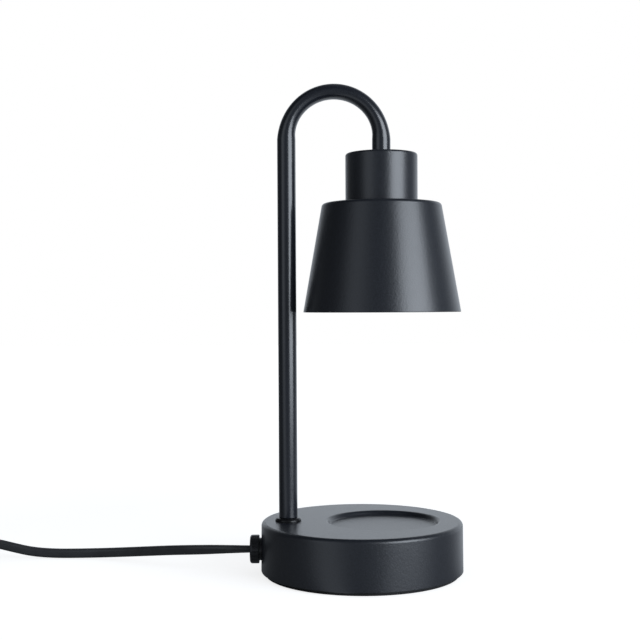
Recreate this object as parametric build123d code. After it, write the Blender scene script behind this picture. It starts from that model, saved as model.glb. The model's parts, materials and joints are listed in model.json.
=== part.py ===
from build123d import *
import os
from math import atan, cos, degrees, radians, sin, sqrt, tan

# A candle warmer lamp: a weighted round base with a candle well, a bent tube arm,
# a cup and a cone shade over a reflector bulb, and a flat cord with a dimmer and a plug.
# Millimetres, +Z up. The origin is the centre of the base's underside, +X points from
# the arm to the shade, and the cord leaves the base at -X.

# Base
base_diameter = 120.0        # at the top of the wall
base_flare = 0.25            # growth of the wall's radius down to its lower edge
base_height = 31.3           # table to top face
base_wall = 1.2
base_edge_radius = 2.4
base_foot_radius = 0.4
pad_thickness = 2.0
pad_inset = 2.5
cover_thickness = 1.5
cover_clearance = 0.3
weight_gap = 4.8             # from the inside of the wall to the weight
weight_height = 7.0
notch_width = 26.0           # gap in the weight behind the cord gland
notch_clearance = 1.5
standoff_inset = 10.3        # from the inside of the wall to a standoff's axis
standoff_angles = (65.0, 115.0, 245.0, 295.0)
standoff_diameter = 9.0
spigot_diameter = 6.0
spigot_clearance = 0.2
cover_screw_diameter = 4.0
cover_screw_head_diameter = 7.5
cover_screw_head_height = 1.6
cover_screw_grip = 9.0
screw_hole_clearance = 0.2

# Candle well
well_diameter = 69.0         # at the outer edge of the lip
well_depth = 2.6
well_wall_angle = 55.0       # slope of the wall, from the level
well_lip_radius = 2.2
well_floor_radius = 1.4

# Arm
arm_inset = 16.0             # from the base's edge to the arm's axis
arm_reach = 56.6             # from the arm's axis to the shade's axis
arm_diameter = 11.0
arm_wall = 1.45
arm_bend_thickness = 9.2     # the tube flattens a little in the plane of its bend
arm_bend_sections = 4
lamp_height = 291.8
arm_drop = 8.7               # straight end below the bend
arm_end_radius = 0.5
collar_diameter = 15.5
collar_thickness = 2.0
collar_radius = 1.5
nipple_clearance = 0.05
nipple_bore = 5.4
nipple_engagement = 24.0
nipple_past_nut = 2.0
bush_wall = 0.4              # insulating bush in the lower nipple's mouth
bush_length = 6.0
bush_rim = 0.8
washer_diameter = 15.0
washer_thickness = 0.8
washer_teeth = 12
washer_tooth_depth = 1.2
washer_tooth_gap = 1.2
nut_across_flats = 13.0
base_nut_height = 6.0
cup_nut_height = 5.0
thread_clearance = 0.05

# Head
cup_diameter = 43.0
cup_height = 29.7
cup_wall = 1.0
cup_edge_radius = 1.5
shade_height = 64.7
shade_rim_diameter = 94.0
shade_top_diameter = 71.0    # where the cone would meet the top face
shade_wall = 1.0
shade_edge_radius = 2.2
shade_rim_radius = 0.3
bracket_thickness = 1.2
bracket_width = 12.0
bracket_clearance = 0.3
clear_hole = 0.15            # extra radius where a part only passes a hole
least_edge_radius = 0.3      # smallest rounding on an inner edge
cut_past = 1.0               # how far a cutting form runs past a face

# Lampholder and its fixings
holder_diameter = 24.6
holder_boss_diameter = 22.6
holder_reach = 1.0           # how far the boss stands below the shade's top plate
holder_height = 13.0
ear_thickness = 4.0
ear_width = 9.0
lid_thickness = 2.5
lid_inset = 0.4
holder_screw_diameter = 3.0
holder_screw_head_diameter = 5.5
holder_screw_head_height = 2.2
holder_nut_across_flats = 5.5
holder_nut_height = 2.4
holder_screw_past_nut = 0.6
pin_spacing = 10.0
pin_head_diameter = 5.0
pin_head_length = 3.0
pin_neck_diameter = 3.0
pin_seat = 4.0               # depth of a pin in the bulb's base
twist_angle = 25.0
lip_thickness = 3.4
slot_clearance = 0.4
head_clearance = 0.3
contact_thickness = 0.6
contact_width = 4.0

# Bulb
bulb_diameter = 50.0
bulb_length = 51.0
bulb_gap = 0.3
bulb_wall = 1.2
bulb_base_diameter = 19.6
bulb_base_length = 13.5
bulb_base_edge = 1.0
bulb_neck_diameter = 16.8
bulb_neck_start = 7.0
bulb_neck_end = 14.7
bulb_rim_height = 3.6
bulb_bulge = 0.62            # share of the flare reached at half its height
lens_thickness = 2.0
lens_ledge = 1.0
lens_clearance = 0.1
burner_diameter = 8.4
burner_start = 21.0
burner_length = 17.0
burner_stem_diameter = 6.8
burner_stem_gap = 0.4

# Cord gland
gland_z = 14.4
gland_head_diameter = 16.9
gland_head_length = 5.4
gland_head_radius = 1.3
gland_flutes = 20
gland_flute_radius = 0.45
gland_neck_diameter = 13.4
gland_stand_off = 1.3
gland_thread_diameter = 12.0
gland_inside = 8.0
gland_stub_diameter = 11.0
gland_stub_length = 3.6
gland_bore = 8.6
gland_nut_across_flats = 16.0
gland_nut_height = 3.5
gland_mouth_diameter = 7.0
saddle_clearance = 0.05

# Cord and inner wiring
cord_width = 6.0
cord_thickness = 3.8
cord_slot_clearance = 0.1
cord_bend_share = 0.45       # share of the shorter run that each bend takes up
core_diameter = 2.0
core_offset = 1.3
core_run = 1.8               # before the two cores part
core_spread = 5.0            # beside the arm's nut, clear of the leads
lead_diameter = 1.8
lead_offset = 1.1
lead_bend_radius = 3.0
wire_turn_radius = 4.0
splice_diameter = 6.5
splice_bore = 5.2
splice_length = 15.0
splice_behind = 16.0         # from the arm's axis to a splice's mouth
splice_y = 6.5
splice_floor_gap = 0.2
splice_rise = 1.4            # how far each wire sits from the splice's axis
wire_in_splice = 8.0

# Coil of the cord that is put away, on its edge in two layers
coil_x = -361.0
coil_y = 2.0
coil_radius = 41.0
coil_gap = 0.7
coil_layer_gap = 0.6
coil_lower_half_turns = 7
coil_upper_half_turns = 5
coil_samples = 700           # points on which the coil's least gap is measured
tie_thickness = 1.0
tie_width = 8.0
tie_clearance = 0.3
tie_room = 1.2               # beside the turns, whose centres are not all on one line

# In-line dimmer
dimmer_x = -277.0
dimmer_y = 42.0
dimmer_length = 64.0
dimmer_width = 30.0
dimmer_height = 21.0
dimmer_wall = 1.8
dimmer_corner_radius = 9.0
dimmer_edge_radius = 2.5
wheel_diameter = 26.0
wheel_thickness = 6.4
wheel_offset = 5.5
wheel_ribs = 40
wheel_rib_radius = 0.6
wheel_slot_clearance = 0.6
shaft_diameter = 5.0
shaft_clearance = 0.04
shaft_flat = 0.7
shaft_in_boss = 3.0
wheel_boss_gap = 0.4
wheel_boss_wall = 2.0
board_length = 40.0
board_width = 22.0
board_thickness = 1.4
board_lift = 1.0
board_post_diameter = 4.0
board_post_x = 17.0
board_post_y = 8.0
pot_diameter = 15.0
pot_gap = 0.4
capacitor_size = (6.0, 13.0, 8.0)
triac_size = (4.6, 10.2, 9.0)
component_x = 16.8
case_screw_x = 23.6
case_screw_y = -9.3
case_screw_diameter = 2.5
case_screw_head_diameter = 4.6
case_screw_head_height = 1.8
case_screw_recess = 0.5
case_screw_length = 15.0
case_post_diameter = 6.4
case_gap = 0.3
grommet_wall = 2.0
grommet_reach = 3.0
grommet_inside = 4.0
grommet_clearance = 0.1
grommet_flange = 1.0
tail_length = 9.0

# Plug
plug_x = -248.0              # face that carries the pins
plug_length = 34.0
plug_width = 35.3
plug_tail_width = 15.0
plug_nose_length = 16.0
plug_height = 13.7
plug_edge_radius = 1.6
plug_pin_spacing = 19.0
plug_pin_diameter = 4.0
plug_pin_length = 19.0
plug_pin_core_diameter = 2.8
plug_pin_seat = 12.0
plug_sleeve_length = 10.0
plug_sleeve_diameter = 3.5
relief_length = 24.0
relief_seat = 5.0
relief_large_diameter = 11.0
relief_small_diameter = 8.6
relief_ribs = 6
relief_rib_depth = 1.0
relief_rib_width = 1.6

# Levels and radii that follow from the sizes above
base_radius = base_diameter / 2
arm_x = arm_inset - base_radius
head_x = arm_x + arm_reach
splice_x = arm_x + splice_behind
wall_foot_radius = base_radius + base_flare
shell_under = base_height - base_wall
cover_top = pad_thickness + cover_thickness
weight_top = cover_top + weight_height
weight_diameter = base_diameter - 2 * (base_wall + weight_gap)
well_floor_z = base_height - well_depth
standoff_radius = base_radius - base_wall - standoff_inset
arch_radius = (head_x - arm_x) / 2
arch_middle_x = (head_x + arm_x) / 2
arch_z = lamp_height - arch_radius - arm_bend_thickness / 2
arm_foot_z = base_height + collar_thickness
arm_bore = arm_diameter - 2 * arm_wall
nipple_diameter = arm_bore - 2 * nipple_clearance
cup_top = arch_z - arm_drop
cup_under = cup_top - cup_wall
shade_top = cup_top - cup_height
shade_under = shade_top - shade_wall
shade_rim_z = shade_top - shade_height
shade_slope = (shade_rim_diameter - shade_top_diameter) / 2 / shade_height
foot_top = shade_top + bracket_thickness
ear_top = foot_top + ear_thickness
bracket_leg_out = sqrt((cup_diameter / 2 - cup_wall) ** 2 - (bracket_width / 2) ** 2) - bracket_clearance
bracket_leg_in = bracket_leg_out - bracket_thickness
ear_reach = bracket_leg_in - bracket_clearance
holder_screw_x = (bracket_leg_in + holder_diameter / 2) / 2
holder_face = shade_under - holder_reach
holder_top = holder_face + holder_height
lid_top = holder_top + lid_thickness
bulb_face = holder_face - bulb_gap
pin_head_z = holder_face + lip_thickness + head_clearance
web_under = cup_under - bracket_thickness
cup_nut_top = web_under - washer_thickness
cup_nut_under = cup_nut_top - cup_nut_height
base_nut_top = shell_under - washer_thickness
base_nut_under = base_nut_top - base_nut_height
lower_nipple_end = base_nut_under - nipple_past_nut
upper_nipple_end = cup_nut_under - nipple_past_nut
cord_pitch = cord_thickness + coil_gap
coil_lower_z = tie_thickness + tie_clearance + cord_width / 2
coil_upper_z = coil_lower_z + cord_width + coil_layer_gap
coil_climb_radius = coil_radius - coil_lower_half_turns * cord_pitch / 2
coil_lean = degrees(atan((coil_upper_z - coil_lower_z) / 2 / coil_climb_radius))
dimmer_split = dimmer_height / 2
wheel_y = dimmer_y + wheel_offset
plug_z = plug_height / 2


def wall_radius(z):
    """Outer radius of the base's wall at a height."""
    return base_radius + base_flare * (base_height - z) / (base_height - pad_thickness)


gland_wall_x = -wall_radius(gland_z)
gland_inner_radius = wall_radius(gland_z) - base_wall
gland_neck_x = gland_wall_x - gland_stand_off
gland_face_x = gland_neck_x - gland_head_length
gland_inner_x = gland_wall_x + base_wall + gland_inside


def drum(diameter, bottom, top, x=0.0, y=0.0):
    """Upright cylinder between two heights."""
    upright = (Align.CENTER, Align.CENTER, Align.MIN)
    return Pos(x, y, bottom) * Cylinder(diameter / 2, top - bottom, align=upright)


def rod(diameter, start, end, y, z):
    """Cylinder along X between two places."""
    middle = Pos((start + end) / 2, y, z) * Rot(0, 90, 0)
    return middle * Cylinder(diameter / 2, abs(end - start))


def block(x0, x1, y0, y1, z0, z1):
    """Box between two corners."""
    return Pos((x0 + x1) / 2, (y0 + y1) / 2, (z0 + z1) / 2) * Box(x1 - x0, y1 - y0, z1 - z0)


def hex_nut(across_flats, bottom, top, bore, x):
    """Upright hexagon nut with a plain bore and two flats across X."""
    hexagon = RegularPolygon(across_flats / 2, 6, major_radius=False, rotation=30)
    return Pos(x, 0, bottom) * extrude(hexagon, top - bottom) - drum(bore, bottom, top, x)


def save(solids, name):
    """Writes one node from a solid or from a list of separate solids."""
    parts = solids if isinstance(solids, list) else [solids]
    pieces = [piece for part in parts for piece in part.solids()]
    whole = pieces[0] if len(pieces) == 1 else Compound(children=pieces)
    export_step(whole, f"parts/{name}.step")


def standoff_places():
    """Axes of the standoffs between the shell's top and the bottom cover."""
    for angle in standoff_angles:
        yield standoff_radius * cos(radians(angle)), standoff_radius * sin(radians(angle))


def base_form(inset, top, edge_radius):
    """The base's tapered outline, inset from its outer surface."""
    upright = (Align.CENTER, Align.CENTER, Align.MIN)
    height = top - pad_thickness
    cone = Cone(wall_foot_radius - inset, wall_radius(top) - inset, height, align=upright)
    cone = Pos(0, 0, pad_thickness) * cone
    return fillet(cone.edges().group_by(Axis.Z)[-1], edge_radius)


def well_form(wall):
    """The candle well's hollow, or with a wall the pan that is pressed around it."""
    slope = radians(well_wall_angle)
    floor = well_floor_z - wall
    corner = well_floor_radius + wall
    lip_x = well_diameter / 2
    rise_x = lip_x + (wall - well_lip_radius) * sin(slope)
    rise_z = base_height - well_lip_radius + (well_lip_radius - wall) * cos(slope)
    bend_end_z = floor + corner * (1 - cos(slope))
    bend_end_x = rise_x + (bend_end_z - rise_z) / tan(slope)
    line = Line((0, 0, floor), (bend_end_x - corner * sin(slope), 0, floor))
    bend = TangentArc(line @ 1, (bend_end_x, 0, bend_end_z), tangent=(1, 0, 0))
    if wall == 0:
        top = base_height + cut_past
        rise = Line(bend @ 1, (rise_x, 0, rise_z))
        lip = TangentArc(rise @ 1, (lip_x, 0, base_height), tangent=rise % 1)
        rest = Polyline(lip @ 1, (lip_x, 0, top), (0, 0, top), (0, 0, floor))
        edges = [line, bend, rise, lip, rest]
    else:
        rim_x = rise_x + (shell_under - rise_z) / tan(slope)
        rest = Polyline(bend @ 1, (rim_x, 0, shell_under), (0, 0, shell_under), (0, 0, floor))
        edges = [line, bend, rest]
    return Pos(head_x, 0, 0) * revolve(make_face(edges), Axis.Z)


def make_base():
    """Shell, weight, cover, pad and the standoffs and screws that close the base."""
    inner_edge = max(base_edge_radius - base_wall, least_edge_radius)
    shell = base_form(0.0, base_height, base_edge_radius) - base_form(base_wall, shell_under, inner_edge)
    foot = shell.edges().filter_by(GeomType.CIRCLE).group_by(Axis.Z)[0].sort_by(SortBy.RADIUS)[-1]
    shell = fillet(foot, base_foot_radius)
    shell = shell + well_form(base_wall) - well_form(0.0)
    shell -= drum(nipple_diameter + 2 * clear_hole, shell_under, base_height, arm_x)
    gland_hole = gland_thread_diameter + 2 * clear_hole
    shell -= rod(gland_hole, gland_wall_x - base_wall, gland_inner_x, 0, gland_z)
    save(shell, "base_shell")

    cover = drum(2 * (wall_foot_radius - base_wall - cover_clearance), pad_thickness, cover_top)
    weight = drum(weight_diameter, cover_top, weight_top)
    notch_end = gland_inner_x + notch_clearance
    weight -= block(-weight_diameter, notch_end, -notch_width / 2, notch_width / 2, cover_top, weight_top)
    pad = drum(2 * (wall_foot_radius - pad_inset), 0, pad_thickness)
    standoffs = []
    screws = []
    for x, y in standoff_places():
        hole = cover_screw_diameter + 2 * screw_hole_clearance
        cover -= drum(hole, pad_thickness, cover_top, x, y)
        weight -= drum(spigot_diameter + 2 * spigot_clearance, cover_top, weight_top, x, y)
        pad -= drum(cover_screw_head_diameter + 4 * screw_hole_clearance, 0, pad_thickness, x, y)
        standoff = drum(standoff_diameter, weight_top, shell_under, x, y)
        standoff -= well_form(base_wall)
        standoff += drum(spigot_diameter, cover_top, weight_top, x, y)
        screw_end = cover_top + cover_screw_grip
        tapped = cover_screw_diameter + 2 * thread_clearance
        standoff -= drum(tapped, cover_top, screw_end + screw_hole_clearance, x, y)
        standoffs.append(standoff)
        head_z = pad_thickness - cover_screw_head_height
        head = drum(cover_screw_head_diameter, head_z, pad_thickness, x, y)
        head = fillet(head.edges().group_by(Axis.Z)[0], cover_screw_head_height / 2)
        slot = cover_screw_head_height / 2
        head -= Pos(x, y, head_z) * Box(cover_screw_diameter, slot, slot)
        head -= Pos(x, y, head_z) * Box(slot, cover_screw_diameter, slot)
        screws.append(head + drum(cover_screw_diameter, pad_thickness, screw_end, x, y))
    save(cover, "bottom_cover")
    save(weight, "base_weight")
    save(pad, "foot_pad")
    save(standoffs, "cover_standoffs")
    save(screws, "cover_screws")


def toothed_washer(bottom, x):
    """Lock washer with teeth around its rim."""
    washer = drum(washer_diameter, bottom, bottom + washer_thickness, x)
    washer -= drum(nipple_diameter + 2 * thread_clearance, bottom, bottom + washer_thickness, x)
    notch = Pos(washer_diameter / 2, 0, 0) * Box(2 * washer_tooth_depth, washer_tooth_gap, washer_thickness)
    for index in range(washer_teeth):
        turn = Rot(0, 0, (index + 0.5) * 360 / washer_teeth)
        washer -= Pos(x, 0, bottom + washer_thickness / 2) * turn * notch
    return washer


def bend_form(radius, thickness):
    """The arm's half round bend, flattened from a circle to a slight oval at its top."""
    crown = (arch_middle_x, 0, arch_z + arch_radius)
    path = ThreePointArc((arm_x, 0, arch_z), crown, (head_x, 0, arch_z))
    width = 2 * radius - thickness / 2
    sections = []
    for index in range(arm_bend_sections + 1):
        place = index / arm_bend_sections
        across = Plane(origin=path @ place, x_dir=(0, 1, 0), z_dir=path % place)
        straight_end = index in (0, arm_bend_sections)
        sections.append(across * (Circle(radius) if straight_end else Ellipse(width, thickness / 2)))
    return sweep(sections, path=path, multisection=True)


def make_arm():
    """Bent tube, its collar, and the threaded nipples, washers and nuts at its two ends."""
    bore_squash = arm_diameter - arm_bend_thickness
    outside = bend_form(arm_diameter / 2, arm_bend_thickness)
    outside += drum(arm_diameter, arm_foot_z, arch_z, arm_x) + drum(arm_diameter, cup_top, arch_z, head_x)
    inside = bend_form(arm_bore / 2, arm_bore - bore_squash)
    inside += drum(arm_bore, arm_foot_z, arch_z, arm_x) + drum(arm_bore, cup_top, arch_z, head_x)
    foot = outside.edges().filter_by(GeomType.CIRCLE).group_by(Axis.Z)[0]
    save(fillet(foot, arm_end_radius) - inside, "arm_tube")

    collar = drum(collar_diameter, base_height, arm_foot_z, arm_x)
    collar = fillet(collar.edges().group_by(Axis.Z)[-1], collar_radius)
    save(collar - drum(nipple_diameter + 2 * clear_hole, base_height, arm_foot_z, arm_x), "post_collar")

    lower_top = arm_foot_z + nipple_engagement
    lower = drum(nipple_diameter, lower_nipple_end, lower_top, arm_x)
    save(lower - drum(nipple_bore, lower_nipple_end, lower_top, arm_x), "lower_nipple")
    bush_end = lower_nipple_end + bush_length
    bush_diameter = nipple_bore - 2 * nipple_clearance
    bush_foot = lower_nipple_end - bush_rim
    bush = drum(bush_diameter, lower_nipple_end, bush_end, arm_x)
    bush += drum(nipple_diameter, bush_foot, lower_nipple_end, arm_x)
    bush -= drum(bush_diameter - 2 * bush_wall, bush_foot, bush_end, arm_x)
    save(bush, "wire_bush")
    upper = drum(nipple_diameter, upper_nipple_end, arch_z, head_x)
    save(upper - drum(nipple_bore, upper_nipple_end, arch_z, head_x), "upper_nipple")

    bore = nipple_diameter + 2 * thread_clearance
    save(toothed_washer(base_nut_top, arm_x), "base_lock_washer")
    save(hex_nut(nut_across_flats, base_nut_under, base_nut_top, bore, arm_x), "base_nut")
    save(toothed_washer(cup_nut_top, head_x), "cup_lock_washer")
    save(hex_nut(nut_across_flats, cup_nut_under, cup_nut_top, bore, head_x), "cup_nut")


def make_cup_and_shade():
    """The cup, the cone shade and the strap bracket that ties both to the arm."""
    cup = drum(cup_diameter, shade_top, cup_top, head_x)
    cup = fillet(cup.edges().group_by(Axis.Z)[-1], cup_edge_radius)
    hollow = drum(cup_diameter - 2 * cup_wall, shade_top, cup_under, head_x)
    inner_edge = max(cup_edge_radius - cup_wall, least_edge_radius)
    hollow = fillet(hollow.edges().group_by(Axis.Z)[-1], inner_edge)
    cup -= hollow
    cup -= drum(nipple_diameter + 2 * clear_hole, cup_under, cup_top, head_x)
    save(cup, "holder_cup")

    upright = (Align.CENTER, Align.CENTER, Align.MIN)
    wall_across = shade_wall * sqrt(1 + shade_slope**2)
    rim_radius = shade_rim_diameter / 2
    rim_place = Pos(head_x, 0, shade_rim_z)
    cone = rim_place * Cone(rim_radius, shade_top_diameter / 2, shade_height, align=upright)
    cone = fillet(cone.edges().group_by(Axis.Z)[-1], shade_edge_radius)
    inner_height = shade_height - shade_wall
    inner_top = rim_radius - shade_slope * inner_height - wall_across
    inner = rim_place * Cone(rim_radius - wall_across, inner_top, inner_height, align=upright)
    inner_edge = max(shade_edge_radius - shade_wall, least_edge_radius)
    inner = fillet(inner.edges().group_by(Axis.Z)[-1], inner_edge)
    shade = cone - inner
    shade = fillet(shade.edges().filter_by(GeomType.CIRCLE).group_by(Axis.Z)[0], shade_rim_radius)
    shade -= drum(holder_boss_diameter + 4 * clear_hole, shade_under, shade_top, head_x)
    for side in (-1, 1):
        x = head_x + side * holder_screw_x
        shade -= drum(holder_screw_diameter + 2 * clear_hole, shade_under, shade_top, x)
    save(shade, "shade")

    half = bracket_width / 2
    reach = bracket_leg_out
    foot_in = holder_diameter / 2 + bracket_clearance
    bracket = block(head_x - reach, head_x + reach, -half, half, web_under, cup_under)
    for side in (-1, 1):
        legs = sorted((head_x + side * bracket_leg_in, head_x + side * reach))
        feet = sorted((head_x + side * foot_in, head_x + side * reach))
        bracket += block(legs[0], legs[1], -half, half, shade_top, cup_under)
        bracket += block(feet[0], feet[1], -half, half, shade_top, foot_top)
        x = head_x + side * holder_screw_x
        bracket -= drum(holder_screw_diameter + 2 * clear_hole, shade_top, foot_top, x)
    bracket -= drum(nipple_diameter + 2 * clear_hole, web_under, cup_under, head_x)
    outer_bends = bracket.edges().filter_by(Axis.Y).group_by(Axis.Z)[-1]
    save(fillet(outer_bends, bracket_thickness), "holder_bracket")


def twist_slot(width, bottom, top, side):
    """Curved slot for one bulb pin, from the entry hole to the locked place."""
    locked = 90.0 if side > 0 else 270.0
    track = CenterArc((head_x, 0, 0), pin_spacing / 2, locked - twist_angle, twist_angle)
    return Pos(0, 0, bottom) * extrude(SlotArc(track, width), top - bottom)


def make_lampholder():
    """Ceramic twist-lock lampholder with its lid, contacts, screws and nuts."""
    body = drum(holder_diameter, foot_top, holder_top, head_x)
    body += drum(holder_boss_diameter, holder_face, foot_top, head_x)
    ear_half = ear_width / 2
    body += block(head_x - ear_reach, head_x + ear_reach, -ear_half, ear_half, foot_top, ear_top)
    lip_top = holder_face + lip_thickness
    entry_diameter = pin_head_diameter + 2 * slot_clearance
    contacts = []
    for side in (-1, 1):
        body -= twist_slot(pin_neck_diameter + 2 * slot_clearance, holder_face, lip_top, side)
        body -= twist_slot(entry_diameter, lip_top, holder_top, side)
        entry_angle = radians((90.0 if side > 0 else 270.0) - twist_angle)
        entry_x = head_x + pin_spacing / 2 * cos(entry_angle)
        body -= drum(entry_diameter, holder_face, lip_top, entry_x, pin_spacing / 2 * sin(entry_angle))
        hole = holder_screw_diameter + 2 * clear_hole
        body -= drum(hole, foot_top, ear_top, head_x + side * holder_screw_x)
        outer = pin_spacing / 2 + pin_head_diameter / 2
        foot_z = pin_head_z + pin_head_length + head_clearance
        blade = sorted((side * (outer - contact_thickness), side * outer))
        foot = sorted((side * (pin_spacing / 2 - contact_width / 2), side * outer))
        half = contact_width / 2
        contact = block(head_x - half, head_x + half, blade[0], blade[1], foot_z, holder_top)
        foot_top_z = foot_z + contact_thickness
        contact += block(head_x - half, head_x + half, foot[0], foot[1], foot_z, foot_top_z)
        contacts.append(contact.rotate(Axis((head_x, 0, 0), (0, 0, 1)), -twist_angle / 2))
    save(body, "lampholder_body")
    save(contacts, "lampholder_contacts")

    lid = drum(holder_diameter - 2 * lid_inset, holder_top, lid_top, head_x)
    for side in (-1, 1):
        lid -= drum(lead_diameter + 2 * clear_hole, holder_top, lid_top, head_x, side * pin_spacing / 2)
    top_edges = lid.edges().filter_by(GeomType.CIRCLE).group_by(Axis.Z)[-1]
    save(fillet(top_edges.sort_by(SortBy.RADIUS)[-1], lid_inset), "lampholder_lid")

    screws = []
    nuts = []
    nut_top = ear_top + holder_nut_height
    for side in (-1, 1):
        x = head_x + side * holder_screw_x
        head_z = shade_under - holder_screw_head_height
        slot = holder_screw_head_height / 3
        head = drum(holder_screw_head_diameter, head_z, shade_under, x)
        head = fillet(head.edges().group_by(Axis.Z)[0], slot)
        head -= Pos(x, 0, head_z) * Box(holder_screw_head_diameter, slot, 2 * slot)
        screws.append(head + drum(holder_screw_diameter, shade_under, nut_top + holder_screw_past_nut, x))
        thread = holder_screw_diameter + 2 * thread_clearance
        nuts.append(hex_nut(holder_nut_across_flats, ear_top, nut_top, thread, x))
    save(screws, "holder_screws")
    save(nuts, "holder_nuts")


def make_bulb():
    """Twist-lock reflector bulb: base, pins, reflector, front lens and inner burner."""
    def level(depth):
        return bulb_face - depth

    neck = bulb_neck_diameter / 2
    base = drum(bulb_base_diameter, level(bulb_base_length), bulb_face, head_x)
    base = fillet(base.edges().group_by(Axis.Z)[-1], bulb_base_edge)
    neck_hole = bulb_neck_diameter + 2 * clear_hole
    base -= drum(neck_hole, level(bulb_base_length), level(bulb_neck_start), head_x)
    pins = []
    for side in (-1, 1):
        y = side * pin_spacing / 2
        base -= drum(pin_neck_diameter, level(pin_seat), bulb_face, head_x, y)
        pin = drum(pin_head_diameter, pin_head_z, pin_head_z + pin_head_length, head_x, y)
        pin = fillet(pin.edges().group_by(Axis.Z)[-1], head_clearance)
        pins.append(pin + drum(pin_neck_diameter, level(pin_seat), pin_head_z, head_x, y))
    save(base, "bulb_base")
    save(pins, "bulb_pins")

    rim = bulb_diameter / 2
    rim_top = bulb_length - bulb_rim_height
    shoulder = rim - bulb_wall / 2

    def flare(offset):
        near = (neck - offset, 0, level(bulb_neck_end))
        far = (shoulder - offset, 0, level(rim_top))
        bulge = bulb_bulge * (shoulder - neck) + neck - offset
        return near, (bulge, 0, level((bulb_neck_end + rim_top) / 2)), far

    near, middle, far = flare(0.0)
    outside = ThreePointArc(near, middle, far)
    outline = Polyline(far, (rim, 0, level(rim_top)), (rim, 0, level(bulb_length)),
                       (0, 0, level(bulb_length)), (0, 0, level(bulb_neck_start)),
                       (neck, 0, level(bulb_neck_start)), near)
    reflector = revolve(make_face([outside, outline]), Axis.Z)
    near, middle, far = flare(bulb_wall + lens_ledge / 2)
    inside = ThreePointArc(near, middle, far)
    lens_radius = far[0] + lens_ledge
    hollow = Polyline(far, (lens_radius, 0, level(rim_top)), (lens_radius, 0, level(bulb_length)),
                      (0, 0, level(bulb_length)), (0, 0, level(bulb_neck_end)), near)
    reflector = Pos(head_x, 0, 0) * (reflector - revolve(make_face([inside, hollow]), Axis.Z))
    stem = burner_stem_diameter + 2 * lens_clearance
    reflector -= drum(stem, level(bulb_neck_end), level(bulb_neck_start), head_x)
    save(reflector, "bulb_reflector")

    lens_diameter = 2 * (lens_radius - lens_clearance)
    lens = drum(lens_diameter, level(rim_top + lens_thickness), level(rim_top), head_x)
    save(fillet(lens.edges().group_by(Axis.Z)[0], lens_thickness / 4), "bulb_lens")

    tip = level(burner_start + burner_length)
    burner = drum(burner_diameter, tip, level(burner_start), head_x)
    burner = fillet(burner.edges().filter_by(GeomType.CIRCLE), burner_diameter / 2 - lens_clearance)
    stem_end = level(burner_start + burner_stem_diameter / 2)
    burner += drum(burner_stem_diameter, stem_end, level(bulb_neck_start + burner_stem_gap), head_x)
    save(burner, "bulb_burner")


def make_gland():
    """Cord gland through the base's wall: body, fluted cap, inner nut and rubber sleeve."""
    stub_end = gland_neck_x - gland_stub_length
    body = rod(gland_neck_diameter, gland_neck_x, gland_wall_x + base_wall, 0, gland_z)
    body -= base_form(-saddle_clearance, base_height, base_edge_radius)
    body += rod(gland_thread_diameter, gland_neck_x, gland_inner_x, 0, gland_z)
    body += rod(gland_stub_diameter, stub_end, gland_neck_x, 0, gland_z)
    body -= rod(gland_bore, stub_end, gland_inner_x, 0, gland_z)
    save(body, "gland_body")

    cap = rod(gland_head_diameter, gland_face_x, gland_neck_x, 0, gland_z)
    cap = fillet(cap.edges().group_by(Axis.X)[0], gland_head_radius)
    cap = fillet(cap.edges().group_by(Axis.X)[-1], gland_head_radius / 4)
    for index in range(gland_flutes):
        angle = radians(index * 360 / gland_flutes)
        y = gland_head_diameter / 2 * cos(angle)
        z = gland_z + gland_head_diameter / 2 * sin(angle)
        cap -= rod(2 * gland_flute_radius, gland_face_x + gland_head_radius, gland_neck_x, y, z)
    stub_room = gland_stub_length + saddle_clearance
    stub_bore = gland_stub_diameter + 2 * thread_clearance
    cap -= rod(stub_bore, gland_neck_x - stub_room, gland_neck_x, 0, gland_z)
    cap -= rod(gland_mouth_diameter, gland_face_x, gland_neck_x, 0, gland_z)
    save(cap, "gland_cap")

    corner = gland_nut_across_flats / sqrt(3)
    nut_face = saddle_clearance - sqrt(gland_inner_radius**2 - corner**2)
    blank = extrude(RegularPolygon(gland_nut_across_flats / 2, 6, major_radius=False), gland_nut_height)
    nut = Pos(nut_face, 0, gland_z) * Rot(0, 90, 0) * blank
    thread = gland_thread_diameter + 2 * thread_clearance
    save(nut - rod(thread, nut_face, nut_face + gland_nut_height, 0, gland_z), "gland_nut")

    sleeve = rod(gland_bore - 2 * thread_clearance, stub_end, gland_inner_x, 0, gland_z)
    save(sleeve - cord_bar(stub_end, gland_inner_x, 0, gland_z, cord_slot_clearance), "gland_sleeve")


def cord_section(grow=0.0):
    """The flat cord's outline, standing on its edge across X."""
    return Plane.YZ * Rot(0, 0, 90) * SlotOverall(cord_width + 2 * grow, cord_thickness + 2 * grow)


def cord_bar(start, end, y, z, grow=0.0):
    """Straight length of flat cord along X, standing on its edge."""
    low = min(start, end)
    return Pos(low, y, z) * extrude(cord_section(grow), abs(end - start), dir=(1, 0, 0))


def wire(diameter, edges):
    """Round wire along a smooth run of edges."""
    path = Wire(edges)
    across = Plane(origin=path @ 0, z_dir=path % 0)
    return sweep(across * Circle(diameter / 2), path=path)


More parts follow.
